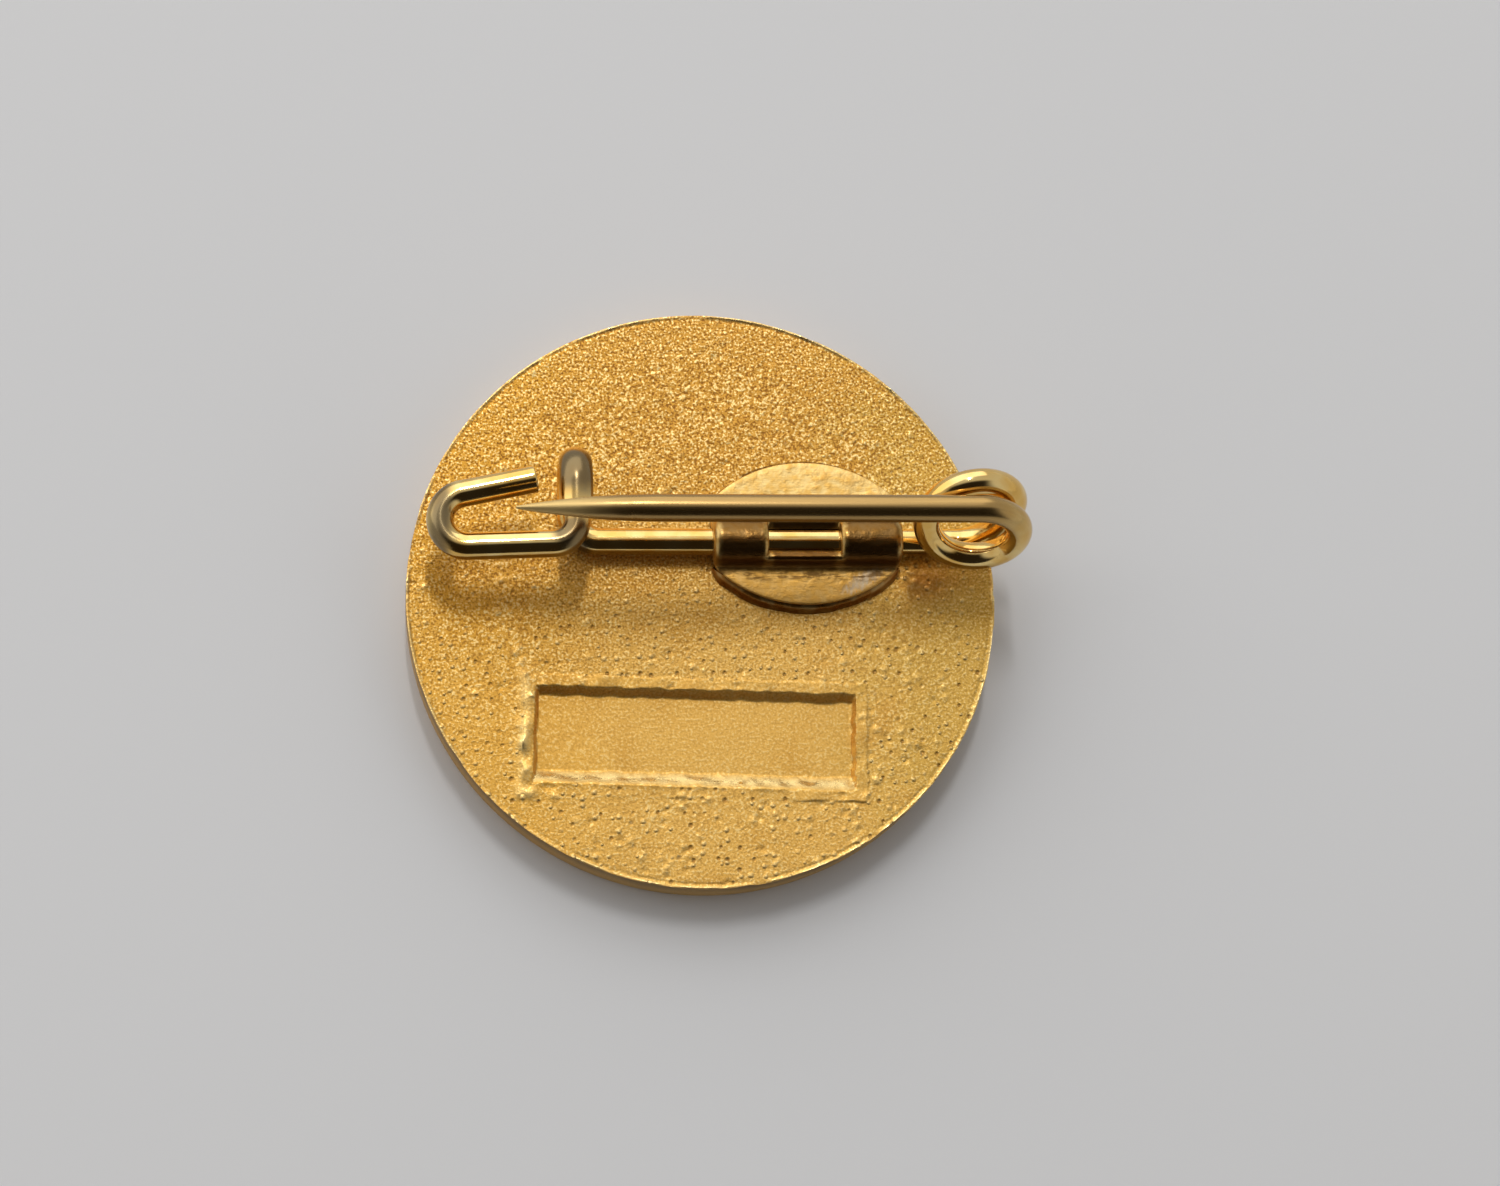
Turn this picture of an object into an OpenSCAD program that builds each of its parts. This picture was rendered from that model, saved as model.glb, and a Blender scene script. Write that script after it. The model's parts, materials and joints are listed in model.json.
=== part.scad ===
// Round enamel badge with a one-piece safety pin on its back.
// It lies face down: the enamel face is at Z = 0 and the back looks up.
// X runs along the pin towards its coil.

/* [Badge] */
// Diameter of the badge
badge_d = 22; // [16:0.5:40]
// Thickness of the struck disc
badge_t = 1.9; // [1.5:0.1:3]
// Rounding of the front edge, cut as a chamfer
front_edge = 0.2; // [0.05:0.05:0.4]
// Rounding of the back edge, cut as a chamfer
back_edge = 0.06; // [0.02:0.02:0.2]

/* [Enamel face] */
// Width of the metal rim around the face
rim_w = 0.8; // [0.4:0.1:1.5]
// Width of the enamel border ring
border_w = 1.3; // [0.6:0.1:2]
// Width of the metal lines between cells
line_w = 0.4; // [0.2:0.05:0.6]
// Diameter of the metal boss in the middle
boss_d = 2.4; // [1.6:0.1:4]
// Depth of the cells
cell_depth = 0.6; // [0.3:0.05:0.8]
// How far the enamel lies below the metal lines
enamel_sink = 0.03; // [0.01:0.01:0.1]

/* [Cartouche] */
// Length of the stamped recess
stamp_w = 11.9; // [6:0.1:13]
// Height of the stamped recess
stamp_h = 3.65; // [2:0.05:4.5]
// Depth of the stamped recess
stamp_depth = 0.3; // [0.1:0.05:0.5]
// Distance of the recess corners from the edge of the badge
stamp_margin = 1.65; // [1:0.05:3]
// Sideways place of the recess from the middle of the badge
stamp_x = -0.4; // [-1:0.1:1]
// Turn of the recess in degrees
stamp_turn = -2; // [-4:0.5:4]
// Width of the shallow ledge around the recess
ledge_w = 0.3; // [0.1:0.05:0.5]
// Depth of the shallow ledge
ledge_depth = 0.06; // [0.02:0.02:0.1]

/* [Bridge plate] */
// Width of the plate between its straight sides
plate_w = 7.1; // [5:0.1:9]
// Height of the plate at its middle
plate_h = 5.5; // [4.5:0.1:7]
// Radius of the two curved edges
plate_r = 5; // [4.5:0.1:8]
// Thickness of the sheet
plate_t = 0.4; // [0.25:0.05:0.6]
// Sideways place of the plate from the middle of the badge
plate_x = 3.87; // [2:0.1:4.5]
// Place of the plate across the pin, from the wire's axis
plate_offset = 0.37; // [-0.5:0.05:0.5]
// Length of the window in the tunnel
window_w = 2.7; // [1.5:0.1:3.5]
// Opening of the window across the tunnel
window_h = 1.44; // [1:0.02:1.6]
// Sideways place of the window from the middle of the plate
window_x = -0.15; // [-0.5:0.05:0.5]
// Thickness of the solder film under the plate
solder_t = 0.05; // [0.02:0.01:0.1]
// How far the solder stands out around the plate
solder_margin = 0.12; // [0.05:0.01:0.3]

/* [Pin wire] */
// Diameter of the wire
wire_d = 1; // [0.7:0.05:1.3]
// Place of the pin above the middle line of the badge
wire_y = 1.93; // [0:0.1:4]
// Clearance between the wire and the badge under it
seat_gap = 0.02; // [0.01:0.01:0.1]
// Clearance between the wire and the tunnel around it
tunnel_gap = 0.03; // [0.01:0.01:0.1]
// Length of the arm from the coil's axis to its tip
arm_len = 16.7; // [13:0.1:21]
// Length of the tapered point
point_len = 5.2; // [3:0.1:7]
// Diameter of the rounded tip
tip_d = 0.12; // [0.06:0.02:0.3]

/* [Spring coil] */
// Place of the coil's axis from the middle of the badge
coil_x = 9.62; // [8:0.1:12]
// Mean radius of the coil
coil_r = 1.65; // [1.3:0.05:2.1]
// Gap between neighbouring turns, along the coil's axis
coil_gap = 0.85; // [0.75:0.05:1.2]
// Lean of the coil's loops in degrees
coil_lean = 25; // [15:1:30]
// Height clearance between the first loop and the base wire
coil_clear = 0.29; // [0.25:0.01:0.6]
// Length of the arm beside the coil that belongs to the spring
coil_lead = 0.6; // [0.4:0.1:1]

/* [Catch] */
// Distance of the catch from the tip, back along the arm
catch_inset = 2.26; // [1.5:0.1:3.5]
// How far the standing bend reaches above the wire's axis
catch_reach = 1.65; // [1.3:0.05:2.5]
// Height of the standing bend between its two legs
catch_rise = 2.2; // [1.8:0.05:2.6]
// Radius of the right-angle bends
bend_r = 0.9; // [0.7:0.05:1.1]
// How far the guard hangs below the wire's axis
guard_drop = 0.68; // [0.4:0.02:1]
// Length of the guard's straight side
guard_len = 3.05; // [2:0.05:4]
// Radius of the guard's end bend
guard_r = 1; // [0.75:0.05:1.3]
// Slope of the guard's straight side in degrees
guard_slope = 2; // [0:0.5:5]
// Turn of the guard's end bend in degrees
guard_turn = 170; // [150:1:180]
// Length of the guard's free end
guard_tail = 2.75; // [1.5:0.05:3.5]

/* [Hidden] */
// Cells of the six-petal face
cell_n = 6;
cell_step = 360 / cell_n;

$fn = 64;
// How far a cut runs past the faces that it opens
cut = 0.5;
gilt = "#c8993f";
bright_gilt = "#d8b35a";
solder_grey = "#a8a294";
border_red = "#8e1622";
petal_ivory = "#efe9da";
ground_blue = "#1f4f9e";

// Face
badge_r = badge_d / 2;
border_out_r = badge_r - rim_w;
border_in_r = border_out_r - border_w;
field_r = border_in_r - line_w;

// Cartouche, set so that its corners keep their distance from the edge
stamp_y = stamp_h / 2 - sqrt(pow(badge_r - stamp_margin, 2) - pow(stamp_w / 2, 2));

// Heights
wire_r = wire_d / 2;
base_z = badge_t + seat_gap + wire_r;
plate_z = badge_t + solder_t;
tunnel_r = wire_r + tunnel_gap;
ridge_r = tunnel_r + plate_t;
plate_y = wire_y + plate_offset;

// Rings of a swept wire: sides of a ring, rings in a full turn
wire_sides = 12;
turn_rings = 24;

// Coil: the loops wind about an axis that leans in the plane across the pin.
// The wire leaves the arm at the top and drops to the base at the right of the second loop
coil_pitch = wire_d + coil_gap;
coil_turns = 1.25;
first_pass = 0.5;
// Turns over which the wire leaves the arm's own line
coil_ease = 0.2;
loop_up = [0, sin(coil_lean), cos(coil_lean)];
loop_axis = [0, cos(coil_lean), -sin(coil_lean)];
first_fall = 2 * coil_r * cos(coil_lean) + advance(first_pass) * sin(coil_lean);
arm_z = base_z + wire_d + coil_clear + first_fall;
coil_top = [coil_x, wire_y, arm_z];
coil_mid = coil_top - coil_r * loop_up;
arm_root_x = coil_x - coil_r - wire_r - coil_lead;
base_root_x = plate_x + plate_w / 2 + tunnel_gap;

// Catch, with a straight stub where it leaves the base wire
tip_x = coil_x - arm_len;
catch_x = tip_x + catch_inset;
catch_root_x = catch_x + bend_r + wire_d;
catch_top = wire_y + catch_reach;
guard_y = wire_y - guard_drop;
guard_z = base_z + catch_rise;
guard_way = [-cos(guard_slope), -sin(guard_slope), 0];
guard_side = [guard_way.y, -guard_way.x, 0];

// Distance that the coil has gone along its axis after some turns, starting square to the arm
function advance(turns) = coil_pitch
    * (turns < coil_ease ? turns * turns / (2 * coil_ease) : turns - coil_ease / 2);

function unit(v) = v / norm(v);

function helix(turns) = coil_mid + advance(turns) * loop_axis
    + coil_r * (sin(360 * turns) * [1, 0, 0] + cos(360 * turns) * loop_up);

// Points on an arc that starts at the centre plus one spoke and turns towards the other
function arc(centre, spoke, towards, angle) = let (steps = ceil(angle / 360 * turn_rings))
    [for (i = [0:steps]) centre + cos(angle * i / steps) * spoke + sin(angle * i / steps) * towards];

function last(list) = list[len(list) - 1];

function bezier(a, b, c, d, u) = pow(1 - u, 3) * a + 3 * u * pow(1 - u, 2) * b
    + 3 * u * u * (1 - u) * c + pow(u, 3) * d;

// Quarter bend from the last wound point down to the base wire, nearly round
round_pull = 0.55;
tail_in = 0.2;
tiny_turn = 0.001;
tail_start = helix(coil_turns);
tail_end = [coil_x - tail_in, wire_y, base_z];
tail_way = unit(tail_start - helix(coil_turns - tiny_turn));
tail_a = tail_start + round_pull * (tail_start.z - base_z) * tail_way;
tail_b = tail_end + [round_pull * (tail_start.x - tail_end.x), 0, 0];

// Spring: a straight lead off the arm, the wound turns, the quarter bend and a straight end
lead_rings = turn_rings / 4;
tail_rings = turn_rings / 3;
coil_path = concat(
    [for (i = [0:lead_rings - 1]) [arm_root_x + (coil_x - arm_root_x) * i / lead_rings, wire_y, arm_z]],
    [for (i = [0:coil_turns * turn_rings]) helix(i / turn_rings)],
    [for (i = [1:tail_rings]) bezier(tail_start, tail_a, tail_b, tail_end, i / tail_rings)],
    [[tail_end.x - wire_d, wire_y, base_z], [base_root_x, wire_y, base_z]]
);

// Catch: a turn off the base, a standing bend back over itself, a turn into the guard and its end bend
root_bend = arc([catch_x + bend_r, wire_y + bend_r, base_z], [0, -bend_r, 0], [-bend_r, 0, 0], 90);
standing_bend = arc([catch_x, catch_top, base_z + catch_rise / 2],
    [0, 0, -catch_rise / 2], [0, catch_rise / 2, 0], 180);
guard_turn_in = arc([catch_x - bend_r, guard_y + bend_r, guard_z],
    [bend_r, 0, 0], [0, -bend_r, 0], 90 - guard_slope);
guard_end = last(guard_turn_in) + guard_len * guard_way;
guard_bend = arc(guard_end + guard_r * guard_side, -guard_r * guard_side, guard_r * guard_way, guard_turn);
guard_tip = last(guard_bend) + guard_tail * (cos(guard_turn) * guard_way + sin(guard_turn) * guard_side);
catch_path = concat(
    [[catch_root_x, wire_y, base_z]],
    root_bend,
    standing_bend,
    guard_turn_in,
    guard_bend,
    [guard_tip]
);

// Least gap between stretches of the coil that lie more than half a turn apart along the wire
far_apart = turn_rings / 2;
coil_least_gap = min([
    for (i = [0:len(coil_path) - 1])
        for (j = [i + far_apart:1:len(coil_path) - 1])
            norm(coil_path[i] - coil_path[j])
]) - wire_d;
echo(str("spring_coil least gap to itself, mm: ", coil_least_gap));

// Directions square to a path, each carried over from the one before it so that the tube does not twist
function carried(ways, side, i = 0) = i == len(ways) ? [] :
    let (next = unit(side - (side * ways[i]) * ways[i])) concat([next], carried(ways, next, i + 1));

// Wire along points: rings square to the path, triangles between them and a fan on each end
module wire(path, first_side) {
    end = len(path) - 1;
    ways = [for (i = [0:end]) unit(path[min(i + 1, end)] - path[max(i - 1, 0)])];
    sides = carried(ways, first_side);
    rings = [
        for (i = [0:end])
            for (k = [0:wire_sides - 1])
                let (angle = 360 * k / wire_sides)
                    path[i] + wire_r * (cos(angle) * sides[i] + sin(angle) * cross(ways[i], sides[i]))
    ];
    walls = [
        for (i = [0:end - 1])
            for (k = [0:wire_sides - 1])
                let (a = i * wire_sides + k, b = i * wire_sides + (k + 1) % wire_sides)
                    each [[a, a + wire_sides, b], [b, a + wire_sides, b + wire_sides]]
    ];
    first_cap = [for (k = [1:wire_sides - 2]) [0, k, k + 1]];
    last_cap = [for (k = [1:wire_sides - 2]) [0, k + 1, k] + end * wire_sides * [1, 1, 1]];
    polyhedron(rings, concat(walls, first_cap, last_cap));
}

// Compass circle of the six-petal face, its radius changed by half a metal line beside a cell
module compass(angle, change, height) {
    rotate([0, 0, angle])
        translate([field_r, 0, 0])
            cylinder(r = field_r + change, h = height);
}

module border_cell(height) {
    difference() {
        cylinder(r = border_out_r, h = height);
        translate([0, 0, -cut])
            cylinder(r = border_in_r, h = height + 2 * cut);
    }
}

module petal_cell(k, height) {
    difference() {
        intersection() {
            compass((k - 1) * cell_step, -line_w / 2, height);
            compass((k + 1) * cell_step, -line_w / 2, height);
        }
        translate([0, 0, -cut])
            cylinder(d = boss_d, h = height + 2 * cut);
    }
}

module ground_cell(k, height) {
    difference() {
        intersection() {
            cylinder(r = field_r, h = height);
            compass(k * cell_step, -line_w / 2, height);
            compass((k + 1) * cell_step, -line_w / 2, height);
        }
        translate([0, 0, -cut]) {
            compass((k - 1) * cell_step, line_w / 2, height + 2 * cut);
            compass((k + 2) * cell_step, line_w / 2, height + 2 * cut);
            cylinder(d = boss_d, h = height + 2 * cut);
        }
    }
}

// Block that stamps the recess or its ledge into the back
module stamp(width, height, depth) {
    translate([stamp_x, stamp_y, badge_t - depth])
        rotate([0, 0, stamp_turn])
            translate([-width / 2, -height / 2, 0])
                cube([width, height, depth + cut]);
}

module badge_body() {
    color(gilt)
        difference() {
            rotate_extrude()
                polygon([
                    [0, 0],
                    [badge_r - front_edge, 0],
                    [badge_r, front_edge],
                    [badge_r, badge_t - back_edge],
                    [badge_r - back_edge, badge_t],
                    [0, badge_t]
                ]);
            translate([0, 0, -cut]) {
                border_cell(cell_depth + cut);
                for (k = [1:cell_n]) {
                    petal_cell(k, cell_depth + cut);
                    ground_cell(k, cell_depth + cut);
                }
            }
            stamp(stamp_w, stamp_h, stamp_depth);
            stamp(stamp_w + 2 * ledge_w, stamp_h + 2 * ledge_w, ledge_depth);
        }
}

module enamel_border() {
    color(border_red)
        translate([0, 0, enamel_sink])
            border_cell(cell_depth - enamel_sink);
}

module enamel_petal(k) {
    color(petal_ivory)
        translate([0, 0, enamel_sink])
            petal_cell(k, cell_depth - enamel_sink);
}

module enamel_ground(k) {
    color(ground_blue)
        translate([0, 0, enamel_sink])
            ground_cell(k, cell_depth - enamel_sink);
}

// Round disc whose edge is the plate's upper or lower edge
module edge_disc(side, margin, height) {
    translate([plate_x, plate_y + side * (plate_h / 2 - plate_r), 0])
        cylinder(r = plate_r + margin, h = height);
}

// Lens outline of the plate, cut off by its straight sides, grown by a margin
module plate_outline(margin, height) {
    intersection() {
        edge_disc(1, margin, height);
        edge_disc(-1, margin, height);
        translate([plate_x - plate_w / 2 - margin, plate_y - plate_h, 0])
            cube([plate_w + 2 * margin, 2 * plate_h, height]);
    }
}

// Block along the pin, centred on the wire, as wide as the plate and a margin at each end
module along_pin(width, height, margin) {
    translate([plate_x - plate_w / 2 - margin, wire_y - width / 2, 0])
        cube([plate_w + 2 * margin, width, height]);
}

module solder_layer() {
    color(solder_grey)
        translate([0, 0, badge_t])
            difference() {
                plate_outline(solder_margin, solder_t);
                translate([0, 0, -cut])
                    along_pin(2 * ridge_r, solder_t + 2 * cut, cut);
            }
}

// The sheet is raised over the wire into a half-round tunnel with a window in its top
module bridge_plate() {
    color(bright_gilt)
        difference() {
            union() {
                translate([0, 0, plate_z]) {
                    plate_outline(0, plate_t);
                    along_pin(2 * ridge_r, base_z - plate_z, 0);
                }
                translate([plate_x - plate_w / 2, wire_y, base_z])
                    rotate([0, 90, 0])
                        cylinder(r = ridge_r, h = plate_w);
            }
            translate([0, 0, badge_t - cut])
                along_pin(2 * tunnel_r, base_z - badge_t + cut, cut);
            translate([0, 0, plate_z - 2 * ridge_r])
                along_pin(2 * ridge_r + 2 * cut, 2 * ridge_r, cut);
            translate([plate_x - plate_w / 2 - cut, wire_y, base_z])
                rotate([0, 90, 0])
                    cylinder(r = tunnel_r, h = plate_w + 2 * cut);
            translate([plate_x + window_x - window_w / 2, wire_y - window_h / 2, base_z])
                cube([window_w, window_h, ridge_r + cut]);
        }
}

module base_wire() {
    color(bright_gilt)
        translate([catch_root_x, wire_y, base_z])
            rotate([0, 90, 0])
                cylinder(d = wire_d, h = base_root_x - catch_root_x);
}

module catch_hook() {
    color(bright_gilt)
        wire(catch_path, [0, 0, 1]);
}

module spring_coil() {
    color(bright_gilt)
        wire(coil_path, loop_axis);
}

// The point is a long ogive: an arc that leaves the shank without a step and ends at the rounded tip
module pin_arm() {
    shank_x = tip_x + point_len;
    nose_r = tip_d / 2;
    ogive_sides = 720;
    ogive_r = (pow(point_len, 2) + pow(wire_r - nose_r, 2)) / (2 * (wire_r - nose_r));
    color(bright_gilt) {
        translate([shank_x, wire_y, arm_z])
            rotate([0, 90, 0])
                cylinder(d = wire_d, h = arm_root_x - shank_x);
        translate([shank_x, wire_y, arm_z])
            rotate([0, -90, 0])
                rotate_extrude()
                    intersection() {
                        translate([wire_r - ogive_r, 0])
                            circle(r = ogive_r, $fn = ogive_sides);
                        square([wire_r, point_len]);
                    }
        translate([tip_x, wire_y, arm_z])
            sphere(d = tip_d);
    }
}

badge_body();
enamel_border();
for (k = [1:cell_n]) {
    enamel_petal(k);
    enamel_ground(k);
}
solder_layer();
bridge_plate();
base_wire();
catch_hook();
spring_coil();
pin_arm();
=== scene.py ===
import json
import math

import bmesh
import bpy
import numpy as np
from mathutils import Matrix, Vector
from mathutils.geometry import delaunay_2d_cdt


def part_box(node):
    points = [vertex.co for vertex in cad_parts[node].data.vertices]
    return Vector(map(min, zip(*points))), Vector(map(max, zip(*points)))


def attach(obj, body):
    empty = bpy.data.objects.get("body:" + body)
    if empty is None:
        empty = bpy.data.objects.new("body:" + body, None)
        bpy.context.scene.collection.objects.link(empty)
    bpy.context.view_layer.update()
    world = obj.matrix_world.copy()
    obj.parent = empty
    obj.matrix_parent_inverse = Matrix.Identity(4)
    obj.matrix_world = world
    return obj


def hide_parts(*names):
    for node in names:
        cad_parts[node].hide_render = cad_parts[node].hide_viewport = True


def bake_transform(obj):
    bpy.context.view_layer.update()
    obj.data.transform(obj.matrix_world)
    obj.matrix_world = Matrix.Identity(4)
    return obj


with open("model.json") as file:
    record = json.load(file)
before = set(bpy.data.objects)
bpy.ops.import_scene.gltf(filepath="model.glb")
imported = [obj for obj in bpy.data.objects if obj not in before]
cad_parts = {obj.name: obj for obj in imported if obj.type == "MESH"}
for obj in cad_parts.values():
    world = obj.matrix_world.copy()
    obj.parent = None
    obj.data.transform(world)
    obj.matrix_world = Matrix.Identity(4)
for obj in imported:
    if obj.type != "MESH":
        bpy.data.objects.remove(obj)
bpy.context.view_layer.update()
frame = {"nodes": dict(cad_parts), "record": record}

mm = 0.001               # pieces are drawn in millimetres and made in metres
slotOf = {part["node"]: part["material_slot"] for part in frame["record"]["subparts"]}


def nodeBox(node):
    low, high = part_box(node)
    return np.array(low) / mm, np.array(high) / mm


_, badgeHigh = nodeBox("badge_body")
plateLow, plateHigh = nodeBox("bridge_plate")
baseLow, baseHigh = nodeBox("base_wire")
armLow, armHigh = nodeBox("pin_arm")
badgeR, backZ = badgeHigh[0], badgeHigh[2]
wireR = (baseHigh[2] - baseLow[2]) / 2
wireY, baseZ = (baseLow[1] + baseHigh[1]) / 2, (baseLow[2] + baseHigh[2]) / 2
armZ = (armLow[2] + armHigh[2]) / 2


# Small helpers for shapes
def eased(edgeA, edgeB, value):  # 0 at edgeA, 1 at edgeB, smooth between them
    t = np.clip((value - edgeA) / (edgeB - edgeA), 0, 1)
    return t * t * (3 - 2 * t)


def bell(value, width):
    return np.exp(-(value / width) ** 2)


def unit(vector):
    return vector / np.linalg.norm(vector, axis=-1, keepdims=True)


def lengths(path):  # how far along a path each of its points lies
    return np.concatenate([[0], np.cumsum(np.linalg.norm(np.diff(path, axis=0), axis=1))])


def openEdges(quads):  # edges that only one quad has
    edges = np.concatenate([quads[:, [i, (i + 1) % 4]] for i in range(4)])
    known = set(map(tuple, edges.tolist()))
    return [(a, b) for a, b in known if (b, a) not in known]


def lumps(x, y, size, seed):  # random field, about -1 to 1, whose lumps have one size
    rng = np.random.default_rng(seed)
    rows, total = 256, 0
    for turn in (0.4, 1.3):  # two turned lattices hide each other's rows
        table = rng.uniform(-1, 1, (rows, rows))
        gridX = (x * math.cos(turn) + y * math.sin(turn)) / size
        gridY = (y * math.cos(turn) - x * math.sin(turn)) / size
        ix, iy = np.floor(gridX).astype(int), np.floor(gridY).astype(int)
        fx, fy = eased(0, 1, gridX - ix), eased(0, 1, gridY - iy)
        low = table[ix % rows, iy % rows] * (1 - fx) + table[(ix + 1) % rows, iy % rows] * fx
        high = table[ix % rows, (iy + 1) % rows] * (1 - fx) + table[(ix + 1) % rows, (iy + 1) % rows] * fx
        total = total + low * (1 - fy) + high * fy
    return total


def addObject(name, data):
    thing = bpy.data.objects.new(name, data)
    bpy.context.scene.collection.objects.link(thing)
    return thing


def makePiece(name, node, points, faces, finish, corners=None, marks=(), crease=40):
    mesh = bpy.data.meshes.new(name)
    mesh.from_pydata((np.asarray(points) * mm).tolist(), [], faces)
    if corners is not None:  # places on the wire's skin, in millimetres
        layer = mesh.uv_layers.new(name="skin")
        layer.uv.foreach_set("vector", np.asarray(corners, np.float32).ravel())
    for title, values in dict(marks).items():  # one value for each point, such as its wear
        mark = mesh.attributes.new(title, "FLOAT", "POINT")
        mark.data.foreach_set("value", np.asarray(values, np.float32))
    shape = bmesh.new()
    shape.from_mesh(mesh)
    bmesh.ops.recalc_face_normals(shape, faces=shape.faces)
    shape.to_mesh(mesh)
    shape.free()
    mesh.shade_smooth()
    mesh.set_sharp_from_angle(angle=math.radians(crease))
    mesh.materials.append(finish)
    piece = addObject(name, mesh)
    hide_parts(node)
    print(f"{name}: {len(mesh.polygons)} faces")
    return piece


# Shader values that take part in Python expressions, and the tree that they belong to
class Socket:
    def __init__(self, finish, link):
        self.finish, self.link = finish, link

    def maths(self, operation, *values):
        return self.finish.add("Math", {"operation": operation}, dict(enumerate(values)))

    def __add__(self, other):
        return self.maths("ADD", self, other)

    def __sub__(self, other):
        return self.maths("SUBTRACT", self, other)

    def __rsub__(self, other):
        return self.maths("SUBTRACT", other, self)

    def __mul__(self, other):
        return self.maths("MULTIPLY", self, other)

    def __pow__(self, other):
        return self.maths("POWER", self, other)

    def __abs__(self):
        return self.maths("ABSOLUTE", self)

    def larger(self, other):
        return self.maths("MAXIMUM", self, other)

    __radd__ = __add__
    __rmul__ = __mul__


class Finish:
    def __init__(self, owner):
        owner.use_nodes = True
        self.owner, self.tree = owner, owner.node_tree
        self.tree.nodes.clear()

    def add(self, kind, settings=(), inputs=(), output=0):
        node = self.tree.nodes.new("ShaderNode" + kind)
        for key, value in dict(settings).items():
            setattr(node, key, value)
        for key, value in dict(inputs).items():
            if isinstance(value, Socket):
                self.tree.links.new(value.link, node.inputs[key])
            else:
                node.inputs[key].default_value = value
        return Socket(self, node.outputs[output]) if len(node.outputs) else None

    def mixed(self, factor, colourA, colourB):
        return self.add("Mix", {"data_type": "RGBA"}, {0: factor, 6: colourA, 7: colourB}, 2)

    def layered(self, colour, *layers):  # each layer is a mask and the name of a gilt tone
        for mask, tone in layers:
            colour = self.mixed(mask, colour, gilt[tone])
        return colour

    def ramped(self, value, low, high):  # 0 below low, 1 above high
        inputs = {"Value": value, "From Min": low, "From Max": high}
        return self.add("MapRange", {"interpolation_type": "SMOOTHSTEP"}, inputs)

    def scaled(self, vector, scale):  # one factor, or one for each axis
        factors = (scale,) * 3 if np.isscalar(scale) else scale
        return self.add("VectorMath", {"operation": "MULTIPLY"}, {0: vector, 1: factors})

    def noise(self, vector, scale, detail=2.0, rough=0.5):
        inputs = {"Vector": vector, "Scale": scale, "Detail": detail, "Roughness": rough}
        return self.add("TexNoise", {}, inputs)

    def axes(self, vector, count=3):  # a vector's first values, one by one
        return [self.add("SeparateXYZ", {}, {0: vector}, axis) for axis in range(count)]

    def mark(self, title):  # a value that makePiece stored on each point
        return self.add("Attribute", {"attribute_name": title}, {}, 2)

    def place(self):  # the surface point in millimetres
        return self.scaled(self.add("TexCoord", {}, {}, 3), 1 / mm)

    def bumped(self, height, depth):  # depth in millimetres
        return self.add("Bump", {}, {"Height": height, "Strength": 1.0, "Distance": depth * mm})

    def shaded(self, inputs):
        surface = self.add("BsdfPrincipled", {}, inputs)
        self.add("OutputMaterial", {}, {"Surface": surface})
        return self.owner


def newFinish(name):
    return Finish(bpy.data.materials.new(name))


# Finishes
gilt = {
    "deep": (0.63, 0.325, 0.054, 1),
    "pale": (0.77, 0.46, 0.112, 1),
    "light": (0.86, 0.65, 0.28, 1),
    "amber": (0.74, 0.38, 0.04, 1),
    "olive": (0.58, 0.38, 0.07, 1),
    "stainAndShade": (0.30, 0.13, 0.025, 1),
    "paintedShade": (0.42, 0.15, 0.02, 1),
    "handled": (0.41, 0.26, 0.095, 1),
    "darkBrown": (0.17, 0.088, 0.026, 1),
    "worn": (0.135, 0.1, 0.06, 1),
    "deepBrown": (0.12, 0.05, 0.01, 1),
    "silver": (0.55, 0.50, 0.41, 1),
}

blasted = {
    "grain": 10.5, "patch": 0.5, "flaws": 2.3,  # how fine each one is
    "pit": (-0.48, -0.34), "glint": (0.54, 0.66), "flock": (0.35, 0.52), "wall": (1.1, 1.9),
    "flawSize": (0.04, 0.22), "flawShare": (0.3, 0.4), "raisedShare": (0.3, 0.5),
    "amber": (6.0, 12.0), "olive": (8.0, 13.0), "rough": 0.54, "relief": 0.032,
}


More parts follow.
